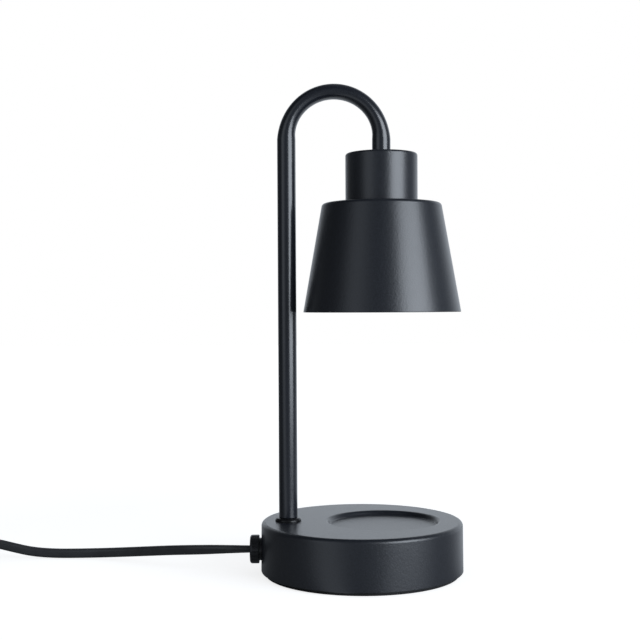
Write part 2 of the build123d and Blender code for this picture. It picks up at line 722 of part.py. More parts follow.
def make_wiring():
    """Cord tail in the gland, its cores, the splices, and the leads up the arm to the lampholder."""
    tail_end = gland_inner_x + notch_clearance / 2
    save(cord_bar(gland_face_x, tail_end, 0, gland_z), "cord_tail")
    splice_z = weight_top + splice_floor_gap + splice_diameter / 2
    core_z = splice_z - splice_rise
    lead_z = splice_z + splice_rise
    lead_level = lower_nipple_end - bush_rim - lead_bend_radius
    wire_end_x = splice_x + wire_in_splice
    cores = []
    splices = []
    leads = {}
    for side in (-1, 1):
        y = side * splice_y
        core = FilletPolyline(
            (tail_end, side * core_offset, gland_z), (tail_end + core_run, side * core_offset, gland_z),
            (arm_x, side * core_spread, gland_z), (splice_x - wire_turn_radius, y, core_z),
            (wire_end_x, y, core_z), radius=wire_turn_radius)
        cores.append(wire(core_diameter, core.edges()))
        splice = rod(splice_diameter, splice_x, splice_x + splice_length, y, splice_z)
        splice = fillet(splice.edges().group_by(Axis.X)[-1], splice_diameter / 3)
        splices.append(splice - rod(splice_bore, splice_x, wire_end_x + splice_floor_gap, y, splice_z))
        out = side * lead_offset
        low = FilletPolyline(
            (wire_end_x, y, lead_z), (splice_x - wire_turn_radius, y, lead_z),
            (arm_x + 2 * lead_bend_radius, out, lead_level), (arm_x, out, lead_level),
            (arm_x, out, arch_z), radius=[wire_turn_radius, lead_bend_radius, lead_bend_radius])
        crown = (arch_middle_x, out, arch_z + arch_radius)
        over = ThreePointArc((arm_x, out, arch_z), crown, (head_x, out, arch_z))
        lead_end = pin_head_z + pin_head_length + head_clearance + contact_thickness + clear_hole
        pin_y = side * pin_spacing / 2
        down = FilletPolyline(
            (head_x, out, arch_z), (head_x, out, upper_nipple_end - lead_diameter / 2),
            (head_x, pin_y, lid_top + lead_diameter / 2), (head_x, pin_y, lead_end),
            radius=lead_bend_radius)
        leads[side] = wire(lead_diameter, low.edges() + over.edges() + down.edges())
    save(cores, "cord_cores")
    save(splices, "wire_splices")
    save(leads[-1], "lamp_lead_live")
    save(leads[1], "lamp_lead_neutral")


def cord_run(points, name):
    """Free stretch of cord on its edge, with the largest smooth bend at each point."""
    corners = [Vector(*point) for point in points]
    radii = []
    for before, here, after in zip(corners, corners[1:], corners[2:]):
        turn = (here - before).get_angle(after - here)
        shorter = min((here - before).length, (after - here).length)
        radii.append(cord_bend_share * shorter / tan(radians(turn / 2)))
    path = Wire(FilletPolyline(*corners, radius=radii).edges())
    across = Plane(origin=path @ 0, x_dir=(0, 0, 1), z_dir=path % 0)
    section = across * SlotOverall(cord_width, cord_thickness)
    solid = sweep(section, path=path)
    share = solid.volume / (section.area * path.length)
    print(name, "length", round(path.length, 1), "volume share", round(share, 4))
    print("  radii", [round(radius, 1) for radius in radii])
    save(solid, name)


def coil_edges():
    """Half turns that spiral in on the lower layer, climb in one half turn and spiral out above."""
    y = coil_y + coil_radius
    side = -1
    radius = coil_radius
    edges = [Line((coil_x + cord_width, y, coil_lower_z), (coil_x, y, coil_lower_z))]

    def half_turn(radius, y, side, z):
        across = y + side * 2 * radius
        middle = (coil_x + side * radius, (y + across) / 2, z)
        return ThreePointArc((coil_x, y, z), middle, (coil_x, across, z)), across

    for _ in range(coil_lower_half_turns):
        arc, y = half_turn(radius, y, side, coil_lower_z)
        edges.append(arc)
        side = -side
        radius -= cord_pitch / 2
    climb = coil_upper_z - coil_lower_z
    reach = sqrt(radius**2 + climb**2 / 4)
    across = y + side * 2 * radius
    top = (coil_x + side * reach, (y + across) / 2, coil_lower_z + climb / 2)
    rising = TangentArc((coil_x, y, coil_lower_z), top, tangent=(side, 0, 0))
    edges += [rising, TangentArc(top, (coil_x, across, coil_upper_z), tangent=rising % 1)]
    y = across
    side = -side
    for _ in range(coil_upper_half_turns):
        radius += cord_pitch / 2
        arc, y = half_turn(radius, y, side, coil_upper_z)
        edges.append(arc)
        side = -side
    edges.append(Line((coil_x, y, coil_upper_z), (coil_x + cord_width, y, coil_upper_z)))
    return edges, y


def least_gap(path):
    """Smallest clear distance between turns of the coil, on points along it."""
    points = [path @ (index / coil_samples) for index in range(coil_samples + 1)]
    apart = int(coil_samples * 3 * cord_width / path.length)
    straight = cord_width - cord_thickness
    gaps = []
    for index, here in enumerate(points):
        for there in points[index + apart:]:
            flat = Vector(here.X - there.X, here.Y - there.Y).length
            rise = max(abs(here.Z - there.Z) - straight, 0.0)
            gaps.append(sqrt(flat**2 + rise**2) - cord_thickness)
    return min(gaps)


def make_cord():
    """The cord's free stretches, the coil with its two ties, and where each one starts and ends."""
    dimmer_near = dimmer_x + dimmer_length / 2 + grommet_reach
    dimmer_far = dimmer_x - dimmer_length / 2 - grommet_reach
    cord_run([
        (gland_face_x, 0, gland_z), (-80, 0, gland_z), (-97, 5.5, 13.0), (-117, 16.5, 10.5),
        (-138, 29.5, 7.1), (-159, 39.5, 4.4), (-178, 43.8, 3.2), (-194, 44.6, 3.05), (-208, 43.9, 4.3),
        (-220, 42.9, 7.3), (-231.5, dimmer_y, dimmer_split),
        (dimmer_near, dimmer_y, dimmer_split)], "cord_lamp_run")

    edges, exit_y = coil_edges()
    path = Wire([edge for part in edges for edge in part.edges()])
    across = Plane(origin=path @ 0, x_dir=(0, 0, 1), z_dir=path % 0)
    section = across * Rot(0, 0, coil_lean) * SlotOverall(cord_width, cord_thickness)
    coil = sweep(section, path=path)
    share = coil.volume / (section.area * path.length)
    print("cord_coil length", round(path.length, 1), "volume share", round(share, 4))
    print("  least gap", round(least_gap(path), 2))
    save(coil, "cord_coil")

    cord_run([
        (dimmer_far, dimmer_y, dimmer_split), (-321, dimmer_y, dimmer_split), (-333.5, 42.6, 7.5),
        (-346, coil_y + coil_radius, coil_lower_z),
        (coil_x + cord_width, coil_y + coil_radius, coil_lower_z)], "cord_dimmer_run")
    cord_run([
        (coil_x + cord_width, exit_y, coil_upper_z), (-346, exit_y, coil_upper_z), (-335.5, -39.2, 9.7),
        (-325, -39.3, 8.2), (-315, exit_y, plug_z),
        (plug_x - plug_length - relief_length, exit_y, plug_z)], "cord_plug_run")

    inner = coil_radius - (coil_lower_half_turns - 1) * cord_pitch / 2
    bands = []
    height = coil_upper_z + cord_width / 2 + tie_clearance - tie_thickness
    for side, drawn_in in ((-1, 0.0), (1, cord_pitch / 2)):
        near = inner - drawn_in
        far = coil_radius - drawn_in
        width = far - near + cord_thickness + 2 * tie_room
        corner = cord_thickness / 2
        outer = RectangleRounded(width + 2 * tie_thickness, height + 2 * tie_thickness, corner)
        ring = outer - RectangleRounded(width, height, corner - tie_thickness)
        middle = (coil_x + side * (near + far) / 2, coil_y - cord_pitch / 2, tie_thickness + height / 2)
        upright = Plane(origin=middle, x_dir=(1, 0, 0), z_dir=(0, 1, 0))
        bands.append(extrude(upright * ring, tie_width / 2, both=True))
    save(bands, "cord_ties")
    return exit_y


def dimmer_shell(inset, bottom, top, edge):
    """The dimmer case's rounded block, inset from its outer surface."""
    corner = dimmer_corner_radius - inset
    outline = RectangleRounded(dimmer_length - 2 * inset, dimmer_width - 2 * inset, corner)
    shell = Pos(dimmer_x, dimmer_y, bottom) * extrude(outline, top - bottom)
    if edge < 0:
        return fillet(shell.edges().group_by(Axis.Z)[0], -edge)
    return fillet(shell.edges().group_by(Axis.Z)[-1], edge)


def grommet_form(start, end, grow):
    """Oval block around the cord at one end of the dimmer."""
    return cord_bar(start, end, dimmer_y, dimmer_split, grommet_wall + grow)


def make_dimmer():
    """In-line thumb-wheel dimmer: two case halves, wheel on its shaft, board and fixings."""
    floor = dimmer_wall
    roof = dimmer_height - dimmer_wall
    inner_edge = dimmer_edge_radius - dimmer_wall
    tray = dimmer_shell(0.0, 0.0, dimmer_split, -dimmer_edge_radius)
    tray -= dimmer_shell(dimmer_wall, floor, dimmer_split, -inner_edge)
    cover = dimmer_shell(0.0, dimmer_split, dimmer_height, dimmer_edge_radius)
    cover -= dimmer_shell(dimmer_wall, dimmer_split, roof, inner_edge)

    wheel_bottom = dimmer_split - wheel_thickness / 2
    wheel_top = dimmer_split + wheel_thickness / 2
    board_bottom = floor + board_lift
    board_top = board_bottom + board_thickness
    shaft_top = wheel_top + wheel_boss_gap + shaft_in_boss
    boss_diameter = shaft_diameter + 2 * wheel_boss_wall
    cover += drum(boss_diameter, wheel_top + wheel_boss_gap, roof, dimmer_x, wheel_y)
    bearing = shaft_diameter + 2 * shaft_clearance
    cover -= drum(bearing, wheel_top, shaft_top + wheel_boss_gap, dimmer_x, wheel_y)

    for x in (dimmer_x - board_post_x, dimmer_x + board_post_x):
        for y in (dimmer_y - board_post_y, dimmer_y + board_post_y):
            tray += drum(board_post_diameter, floor, board_bottom, x, y)
    screws = []
    head_z = case_screw_recess
    shank_z = head_z + case_screw_head_height
    for side in (-1, 1):
        x = dimmer_x + side * case_screw_x
        y = dimmer_y + case_screw_y
        tray += drum(case_post_diameter, floor, dimmer_split, x, y)
        cover += drum(case_post_diameter, dimmer_split, roof, x, y)
        tray -= drum(case_screw_head_diameter + 2 * clear_hole, 0, shank_z, x, y)
        tray -= drum(case_screw_diameter + 2 * clear_hole, shank_z, dimmer_split, x, y)
        screw_end = shank_z + case_screw_length
        thread = case_screw_diameter + 2 * thread_clearance
        cover -= drum(thread, dimmer_split, screw_end + case_gap, x, y)
        head = drum(case_screw_head_diameter, head_z, shank_z, x, y)
        slot = case_screw_head_height / 3
        head -= Pos(x, y, head_z) * Box(case_screw_head_diameter, slot, 2 * slot)
        screws.append(head + drum(case_screw_diameter, shank_z, screw_end, x, y))

    slot_side = dimmer_y + dimmer_width / 2
    gap = wheel_slot_clearance
    swept = drum(wheel_diameter + 2 * gap, wheel_bottom - gap, wheel_top + gap, dimmer_x, wheel_y)
    grommets = []
    tails = []
    for side in (-1, 1):
        end = dimmer_x + side * dimmer_length / 2
        outside = end + side * grommet_reach
        inside = end - side * grommet_inside
        tail_in = end - side * tail_length
        flange_face = end - side * (dimmer_wall + grommet_clearance)
        hole = grommet_form(end + side * grommet_clearance, flange_face, grommet_clearance)
        tray -= hole
        cover -= hole
        grommet = grommet_form(outside, inside, 0.0) + grommet_form(flange_face, inside, grommet_flange)
        grommets.append(grommet - cord_bar(outside, inside, dimmer_y, dimmer_split, cord_slot_clearance))
        tails.append(cord_bar(outside, tail_in, dimmer_y, dimmer_split))
    wall_band = block(dimmer_x - dimmer_length, dimmer_x + dimmer_length, slot_side - 2 * dimmer_wall,
                      slot_side + dimmer_wall, 0, dimmer_height)
    save(tray - (swept & wall_band), "dimmer_lower_case")
    save(cover - (swept & wall_band), "dimmer_upper_case")
    save(screws, "dimmer_case_screws")
    save(grommets, "dimmer_grommets")
    save(tails, "dimmer_cord_tails")

    shaft = drum(shaft_diameter, board_top + pot_gap, shaft_top, dimmer_x, wheel_y)
    flat_y = wheel_y + shaft_diameter / 2 - shaft_flat
    flat = block(dimmer_x - shaft_diameter, dimmer_x + shaft_diameter, flat_y, wheel_y + shaft_diameter,
                 wheel_bottom, wheel_top)
    save(shaft - flat, "dimmer_shaft")
    grooves = PolarLocations(wheel_diameter / 2, wheel_ribs) * Circle(wheel_rib_radius)
    ribbed = Circle(wheel_diameter / 2) - grooves
    wheel = Pos(dimmer_x, wheel_y, wheel_bottom) * extrude(ribbed, wheel_thickness)
    wheel -= drum(shaft_diameter, wheel_bottom, wheel_top, dimmer_x, wheel_y) - flat
    save(wheel, "dimmer_wheel")

    pot = drum(pot_diameter, board_top, wheel_bottom - pot_gap, dimmer_x, wheel_y)
    save(pot - drum(bearing, board_top, wheel_bottom, dimmer_x, wheel_y), "dimmer_potentiometer")
    board = block(dimmer_x - board_length / 2, dimmer_x + board_length / 2,
                  dimmer_y - board_width / 2, dimmer_y + board_width / 2, board_bottom, board_top)
    save(board, "dimmer_board")
    seat = (Align.CENTER, Align.CENTER, Align.MIN)
    capacitor = Box(*capacitor_size, align=seat)
    save(Pos(dimmer_x - component_x, dimmer_y, board_top) * capacitor, "dimmer_capacitor")
    triac = Box(*triac_size, align=seat)
    save(Pos(dimmer_x + component_x, dimmer_y, board_top) * triac, "dimmer_triac")


def make_plug(y):
    """Flat two-pin plug with sleeved pins and a ribbed, tapered strain relief."""
    tail_x = plug_x - plug_length
    outline = make_face(Polyline(
        (plug_x, y - plug_width / 2), (plug_x, y + plug_width / 2),
        (plug_x - plug_nose_length, y + plug_width / 2), (tail_x, y + plug_tail_width / 2),
        (tail_x, y - plug_tail_width / 2), (plug_x - plug_nose_length, y - plug_width / 2), close=True))
    body = extrude(outline, plug_height)
    body = fillet(body.edges().filter_by(Axis.Z), 2 * plug_edge_radius)
    body = fillet(body.edges().group_by(Axis.Z)[0] + body.edges().group_by(Axis.Z)[-1], plug_edge_radius)
    pins = []
    sleeves = []
    sleeve_end = plug_x + plug_sleeve_length
    pin_end = plug_x + plug_pin_length
    for side in (-1, 1):
        pin_y = y + side * plug_pin_spacing / 2
        body -= rod(plug_pin_core_diameter, plug_x - plug_pin_seat, plug_x, pin_y, plug_z)
        tip = rod(plug_pin_diameter, sleeve_end, pin_end, pin_y, plug_z)
        tip = fillet(tip.edges().group_by(Axis.X)[-1], plug_pin_diameter / 4)
        pins.append(tip + rod(plug_pin_core_diameter, plug_x - plug_pin_seat, sleeve_end, pin_y, plug_z))
        sleeve = rod(plug_sleeve_diameter, plug_x, sleeve_end, pin_y, plug_z)
        sleeves.append(sleeve - rod(plug_pin_core_diameter, plug_x, sleeve_end, pin_y, plug_z))
    body -= rod(relief_large_diameter, tail_x, tail_x + relief_seat, y, plug_z)
    save(body, "plug_body")
    save(pins, "plug_pins")
    save(sleeves, "plug_pin_sleeves")

    relief_end = tail_x - relief_length
    along = Pos(relief_end, y, plug_z) * Rot(0, 90, 0)
    seat = (Align.CENTER, Align.CENTER, Align.MIN)
    relief = along * Cone(relief_small_diameter / 2, relief_large_diameter / 2, relief_length, align=seat)
    relief += rod(relief_large_diameter, tail_x, tail_x + relief_seat, y, plug_z)
    pitch = relief_length / (relief_ribs + 1)
    for index in range(relief_ribs):
        x = relief_end + (index + 1) * pitch
        growth = (relief_large_diameter - relief_small_diameter) * (x - relief_end) / relief_length
        diameter = relief_small_diameter + growth
        start = x - relief_rib_width / 2
        groove = rod(diameter + cut_past, start, start + relief_rib_width, y, plug_z)
        core = rod(diameter - 2 * relief_rib_depth, start, start + relief_rib_width, y, plug_z)
        relief -= groove - core
    save(relief, "plug_strain_relief")


os.makedirs("parts", exist_ok=True)
make_base()
make_arm()
make_cup_and_shade()
make_lampholder()
make_bulb()
make_gland()
make_wiring()
make_plug(make_cord())
make_dimmer()
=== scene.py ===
import json
from math import cos, pi, radians, sin

import bpy
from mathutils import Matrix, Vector


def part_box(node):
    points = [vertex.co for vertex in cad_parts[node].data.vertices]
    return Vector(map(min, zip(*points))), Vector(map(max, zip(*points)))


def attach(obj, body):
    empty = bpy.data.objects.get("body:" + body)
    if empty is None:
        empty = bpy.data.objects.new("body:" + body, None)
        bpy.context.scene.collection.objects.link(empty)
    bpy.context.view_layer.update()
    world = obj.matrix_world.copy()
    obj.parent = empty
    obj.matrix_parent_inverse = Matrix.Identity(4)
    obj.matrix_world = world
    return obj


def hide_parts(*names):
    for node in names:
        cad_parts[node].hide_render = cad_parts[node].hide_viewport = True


# A candle warmer lamp in satin black powder coat, on a white studio floor.
# Metres, +Z up, the origin at the centre of the base's underside.

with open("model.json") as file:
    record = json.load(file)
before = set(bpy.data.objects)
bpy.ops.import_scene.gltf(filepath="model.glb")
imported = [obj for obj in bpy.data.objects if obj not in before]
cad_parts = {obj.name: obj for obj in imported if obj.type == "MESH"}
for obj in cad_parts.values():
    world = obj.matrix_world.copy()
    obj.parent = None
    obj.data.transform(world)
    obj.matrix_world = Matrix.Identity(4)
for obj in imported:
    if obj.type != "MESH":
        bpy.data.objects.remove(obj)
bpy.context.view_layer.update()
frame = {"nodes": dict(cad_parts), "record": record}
nodes = frame["nodes"]
MM = 0.001

# The view of the photograph: its place in metres, its angles in degrees
VIEW_X = -24.4 * MM
VIEW_DISTANCE = 704 * MM
VIEW_HEIGHT = 160 * MM
VIEW_TILT = -0.714
VIEW_ROLL = 0.3
LENS = 66.33

# The flat twin cord: its section, and its routes in millimetres
CORD_WIDTH = 6.0 * MM
CORD_THICKNESS = 3.8 * MM
LAMP_ROUTE = [
    (-66.85, 0, 14.4), (-80, 0, 14.4), (-97, 5.5, 13.0), (-117, 16.5, 10.5), (-138, 29.5, 7.1),
    (-159, 39.5, 4.4), (-178, 43.8, 3.2), (-194, 44.6, 3.05), (-208, 43.9, 4.3), (-220, 42.9, 7.3),
    (-231.5, 42, 10.5), (-242, 42, 10.5)]
DIMMER_ROUTE = [
    (-312, 42, 10.5), (-321, 42, 10.5), (-333.5, 42.6, 7.5), (-346, 43, 4.3), (-355, 43, 4.3)]
PLUG_ROUTE = [
    (-355, -39, 10.9), (-346, -39, 10.9), (-335.5, -39.2, 9.7), (-325, -39.3, 8.2), (-315, -39, 6.85),
    (-306, -39, 6.85)]

# How the cord is turned about its line, in degrees: nearly flat at the gland, then on its edge
LAMP_TILTS = [25, 42, 76, 88]
ON_EDGE = 90

# How finely the cord is drawn
PROFILE_STEPS = 14
ROUTE_STEPS = 6
CAP_ANGLE = 50

# The coil of the put-away length, in millimetres
COIL_X = -361.0
COIL_Y = 2.0
COIL_RADIUS = 41.0
COIL_PITCH = 4.5
COIL_LOWER_Z = 4.3
COIL_UPPER_Z = 10.9
COIL_LOWER_HALF_TURNS = 7
COIL_UPPER_HALF_TURNS = 5
COIL_STEPS = 8

# Where most of a noise lies, on its scale from 0 to 1
NOISE_LOW = 0.3
NOISE_HIGH = 0.7

# The studio: how bright the surround is in reflections, by the angle to the right of the view
SURROUND = [
    (-180, 1.2), (-160, 0.9), (-140, 0.25), (-110, 0.06), (-68, 0.10), (-53, 0.9), (-38, 0.9),
    (-22, 0.28), (-8, 0.14), (20, 0.2), (34, 0.7), (64, 0.7), (88, 0.18), (110, 0.24), (138, 1.2),
    (180, 1.2)]
COOL_WHITE = (0.845, 0.915, 1.0)
AMBIENT = 0.40

# The surround fades to a dark ceiling between these heights of a direction
CEILING_START = 0.25
CEILING_END = 0.75
CEILING_LEVEL = 0.16

# The floor: its tone as lit, as mirrored in the lamp, and the glow that makes it white to the camera
FLOOR_SIZE = 8.0
FLOOR_DROP = 0.1 * MM
FLOOR_TONE = 0.42
FLOOR_MIRRORED = 0.16
FLOOR_SHINE = 0.66
FLOOR_MIDDLE_Y = -45 * MM
FLOOR_GLOW = 0.8
FLOOR_NEAR = 0.3
FLOOR_FAR = 1.2

# The key light, to the right of the camera
KEY_ANGLE = 49
KEY_DISTANCE = 1.2
KEY_HEIGHT = 0.42
KEY_WIDTH = 1.0
KEY_TALL = 0.9
KEY_WATTS = 17.2


def clear_selection():
    """Leaves nothing selected, so that an operator acts on the new piece alone."""
    for thing in bpy.context.selected_objects:
        thing.select_set(False)


def make_camera():
    """The photograph's viewpoint, low in front of the lamp."""
    data = bpy.data.cameras.new("photo_view")
    data.lens = LENS
    camera = bpy.data.objects.new("photo_view", data)
    camera.location = (VIEW_X, -VIEW_DISTANCE, VIEW_HEIGHT)
    camera.rotation_euler = (radians(90 + VIEW_TILT), radians(VIEW_ROLL), 0)
    bpy.context.scene.collection.objects.link(camera)
    bpy.context.scene.camera = camera


def coil_points():
    """Control points of the coil: in on the lower layer, a climb, and out again above."""
    points = []
    reach = 1 / cos(pi / COIL_STEPS / 2)
    turns = COIL_LOWER_HALF_TURNS + 1 + COIL_UPPER_HALF_TURNS
    y = COIL_Y + COIL_RADIUS
    side = -1
    for turn in range(turns):
        inward = min(turn, 2 * COIL_LOWER_HALF_TURNS - turn)
        radius = COIL_RADIUS - inward * COIL_PITCH / 2
        middle_y = y + side * radius
        for step in range(COIL_STEPS):
            angle = (step + 0.5) * pi / COIL_STEPS
            if turn < COIL_LOWER_HALF_TURNS:
                z = COIL_LOWER_Z
            elif turn > COIL_LOWER_HALF_TURNS:
                z = COIL_UPPER_Z
            else:
                z = COIL_LOWER_Z + (COIL_UPPER_Z - COIL_LOWER_Z) * (1 - cos(angle)) / 2
            x = COIL_X + side * radius * reach * sin(angle)
            points.append((x, middle_y - side * radius * reach * cos(angle), z))
        y += side * 2 * radius
        side = -side
    return points


def cord_profile():
    """Section of the cord: a flat band with round edges."""
    lobe = CORD_THICKNESS / 2
    offset = (CORD_WIDTH - CORD_THICKNESS) / 2
    outline = []
    for side in (1, -1):
        for step in range(PROFILE_STEPS):
            angle = pi * (step / (PROFILE_STEPS - 1) - 0.5)
            outline.append((side * (offset + lobe * cos(angle)), side * lobe * sin(angle), 0, 1))
    data = bpy.data.curves.new("cord_profile", "CURVE")
    spline = data.splines.new("POLY")
    spline.points.add(len(outline) - 1)
    for point, place in zip(spline.points, outline):
        point.co = place
    spline.use_cyclic_u = True
    return bpy.data.objects.new("cord_profile", data)


def smooth_route(name, route, tilts):
    """One open smooth curve with the route's points as its control points."""
    data = bpy.data.curves.new(name, "CURVE")
    data.dimensions = "3D"
    data.twist_mode = "Z_UP"
    data.resolution_u = ROUTE_STEPS
    spline = data.splines.new("NURBS")
    spline.points.add(len(route) - 1)
    for point, place, tilt in zip(spline.points, route, tilts):
        point.co = (*(MM * value for value in place), 1)
        point.tilt = radians(tilt)
    spline.order_u = 3
    spline.use_endpoint_u = True
    curve = bpy.data.objects.new(name, data)
    bpy.context.scene.collection.objects.link(curve)
    return curve


def make_cord(name, route, tilts, profile):
    """A length of flat twin cord along a smooth route, and the line that it follows."""
    curve = smooth_route(name, route, tilts)
    bpy.context.view_layer.update()
    bare = bpy.data.meshes.new_from_object(curve)
    line = [tuple(vertex.co) for vertex in bare.vertices]
    bpy.data.meshes.remove(bare)
    curve.data.bevel_mode = "OBJECT"
    curve.data.bevel_object = profile
    curve.data.use_fill_caps = True
    clear_selection()
    curve.select_set(True)
    bpy.context.view_layer.objects.active = curve
    bpy.ops.object.convert(target="MESH")
    bpy.ops.object.shade_smooth_by_angle(angle=radians(CAP_ANGLE))
    return bpy.context.view_layer.objects.active, line


def make_cords():
    """The run from the lamp to the dimmer, the coiled lead to the plug, and the stub in the gland."""
    profile = cord_profile()
    lamp_tilts = LAMP_TILTS + [ON_EDGE] * (len(LAMP_ROUTE) - len(LAMP_TILTS))
    lamp_cord, lamp_line = make_cord("lamp_cord", LAMP_ROUTE, lamp_tilts, profile)
    mains_route = DIMMER_ROUTE[:-1] + coil_points() + PLUG_ROUTE[1:]
    mains_tilts = [ON_EDGE] * len(mains_route)
    mains_cord, mains_line = make_cord("mains_cord", mains_route, mains_tilts, profile)
    stub_low, stub_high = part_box("cord_tail")
    mouth_y, mouth_z = LAMP_ROUTE[0][1:]
    stub_route = [(x / MM, mouth_y, mouth_z) for x in (stub_high[0], stub_low[0])]
    gland_stub = make_cord("cord_in_gland", stub_route, LAMP_TILTS[:1] * 2, profile)[0]
    bpy.data.objects.remove(profile)

    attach(gland_stub, "lamp")
    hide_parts("cord_tail")
    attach(lamp_cord, "lamp")
    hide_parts("cord_lamp_run")
    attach(mains_cord, "lamp")
    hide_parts("cord_dimmer_run", "cord_coil", "cord_plug_run")
    return [lamp_cord, mains_cord, gland_stub]


class Sheet:
    """A node tree that is filled node by node."""

    def __init__(self, tree):
        self.tree = tree

    def add(self, kind, **plain):
        """A new node with plain values on its named sockets."""
        node = self.tree.nodes.new(kind)
        self.fill(node, plain)
        return node

    def fill(self, node, plain):
        """Plain values on a node's named sockets."""
        for label, value in plain.items():
            node.inputs[label.replace("_", " ")].default_value = value

    def link(self, start, end):
        """A link from an output to an input."""
        self.tree.links.new(start, end)

    def shared(self, group, **plain):
        """A shared group with its own values."""
        node = self.tree.nodes.new("ShaderNodeGroup")
        node.node_tree = group
        self.fill(node, plain)
        return node

    def reckon(self, operation, first, second):
        """One sum of two values, each an output or a number."""
        node = self.tree.nodes.new("ShaderNodeMath")
        node.operation = operation
        for socket, value in zip(node.inputs, (first, second)):
            if isinstance(value, float):
                socket.default_value = value
            else:
                self.link(value, socket)
        return node.outputs["Value"]

    def stretch(self, value, start, end, low, high):
        """A level that goes from low to high while a value goes from start to end."""
        node = self.add("ShaderNodeMapRange", From_Min=start, From_Max=end, To_Min=low, To_Max=high)
        self.link(value, node.inputs["Value"])
        return node.outputs["Result"]

    def join(self, kind, *parts):
        """A node that joins shaders, with its inputs linked in their order."""
        node = self.add(kind)
        for socket, part in zip(node.inputs, parts):
            self.link(part, socket)
        return node.outputs["Shader"]


def new_group(name, inputs, outputs):
    """An empty shader group with its named sockets, and its two end nodes."""
    group = bpy.data.node_groups.new(name, "ShaderNodeTree")
    for label, value in inputs.items():
        socket = group.interface.new_socket(name=label, in_out="INPUT", socket_type="NodeSocketFloat")
        socket.default_value = value
    for label in outputs:
        group.interface.new_socket(name=label, in_out="OUTPUT", socket_type="NodeSocketFloat")
    sheet = Sheet(group)
    return sheet, sheet.add("NodeGroupInput").outputs, sheet.add("NodeGroupOutput").inputs


def grain_group():
    """Two sizes of soft unevenness: a fine grain and a broad mottle, both from 0 to 1."""
    scales = {"Fine": 2000.0, "Broad": 100.0}
    sheet, enter, leave = new_group("surface_grain", scales, ["Fine", "Broad"])
    place = sheet.add("ShaderNodeTexCoord")
    for label, detail in (("Fine", 2.0), ("Broad", 3.0)):
        noise = sheet.add("ShaderNodeTexNoise", Detail=detail)
        sheet.link(place.outputs["Object"], noise.inputs["Vector"])
        sheet.link(enter[label], noise.inputs["Scale"])
        sheet.link(noise.outputs["Fac"], leave[label])
    return sheet.tree


def cell_group():
    """Small packed cells: the distance from a cell's middle, and a random tone for each cell."""
    sheet, enter, leave = new_group("packed_cells", {"Scale": 800.0}, ["Height", "Tone"])
    place = sheet.add("ShaderNodeTexCoord")
    cells = sheet.add("ShaderNodeTexVoronoi")
    tone = sheet.add("ShaderNodeSeparateColor")
    sheet.link(place.outputs["Object"], cells.inputs["Vector"])
    sheet.link(enter["Scale"], cells.inputs["Scale"])
    sheet.link(cells.outputs["Color"], tone.inputs["Color"])
    sheet.link(cells.outputs["Distance"], leave["Height"])
    sheet.link(tone.outputs["Red"], leave["Tone"])
    return sheet.tree


def surround_group():
    """How bright the studio is in a level direction from the lamp."""
    sheet, enter, leave = new_group("studio_surround", {"X": 0.0, "Y": 0.0}, ["Level"])
    toward_view = sheet.reckon("MULTIPLY", enter["Y"], -1.0)
    angle = sheet.reckon("ARCTAN2", enter["X"], toward_view)
    ramp = sheet.add("ShaderNodeValToRGB")
    sheet.link(sheet.stretch(angle, -pi, pi, 0.0, 1.0), ramp.inputs["Fac"])
    stops = ramp.color_ramp.elements
    while len(stops) < len(SURROUND):
        stops.new(1.0)
    for stop, (degrees_right, level) in zip(stops, SURROUND):
        stop.position = degrees_right / 360 + 0.5
        stop.color = (level, level, level, 1)
    sheet.link(ramp.outputs["Color"], leave["Level"])
    return sheet.tree


GRAIN = grain_group()
CELLS = cell_group()
STUDIO = surround_group()


class Finish(Sheet):
    """A material with one shader, whose sockets are plain or follow a mask over the surface."""

    def __init__(self, name, **plain):
        self.material = bpy.data.materials.new(name)
        self.material.use_nodes = True
        super().__init__(self.material.node_tree)
        self.shader = self.tree.nodes["Principled BSDF"]
        self.fill(self.shader, plain)

    def grain(self, fine, broad):
        """The shared grain, Fine and Broad, with its two scales per metre."""
        return self.shared(GRAIN, Fine=fine, Broad=broad).outputs

    def cells(self, scale):
        """The shared cells, Height and Tone, with their scale per metre."""
        return self.shared(CELLS, Scale=scale).outputs

    def vary(self, socket, mask, low, high, start=NOISE_LOW, end=NOISE_HIGH):
        """A shader socket that wanders between two values."""
        self.link(self.stretch(mask, start, end, low, high), self.shader.inputs[socket])

    def tint(self, mask, dark, light, start=NOISE_LOW, end=NOISE_HIGH):
        """The colour, between a dark and a light tone."""
        ramp = self.add("ShaderNodeValToRGB")
        first, last = ramp.color_ramp.elements
        first.position = start
        first.color = (*dark, 1)
        last.position = end
        last.color = (*light, 1)
        self.link(mask, ramp.inputs["Fac"])
        self.link(ramp.outputs["Color"], self.shader.inputs["Base Color"])

    def bump(self, height, depth):
        """A relief of that depth in millimetres, over the relief there is already."""
        relief = self.add("ShaderNodeBump", Strength=1.0, Distance=depth * MM)
        normal = self.shader.inputs["Normal"]
        if normal.links:
            self.link(normal.links[0].from_socket, relief.inputs["Normal"])
        self.link(height, relief.inputs["Height"])
        self.link(relief.outputs["Normal"], normal)


def satin_coat(name, roughness, peel):
    """Bluish black powder coat: a fine grain on a soft orange peel."""
    finish = Finish(name, Specular_IOR_Level=0.65)
    grain = finish.grain(fine=1100, broad=420)
    finish.tint(grain["Fine"], (0.0088, 0.0103, 0.0142), (0.0130, 0.0153, 0.0210))
    finish.vary("Roughness", grain["Fine"], roughness - 0.015, roughness + 0.015)
    finish.bump(grain["Broad"], depth=peel / 2)
    finish.bump(grain["Fine"], depth=peel)
    return finish.material


def powder_coat():
    """Coat of the base, cup and shade."""
    return satin_coat("powder_coat", roughness=0.33, peel=0.055)


def arm_coat():
    """The same coat on the tube, where it flows out smoother."""
    return satin_coat("arm_coat", roughness=0.24, peel=0.001)


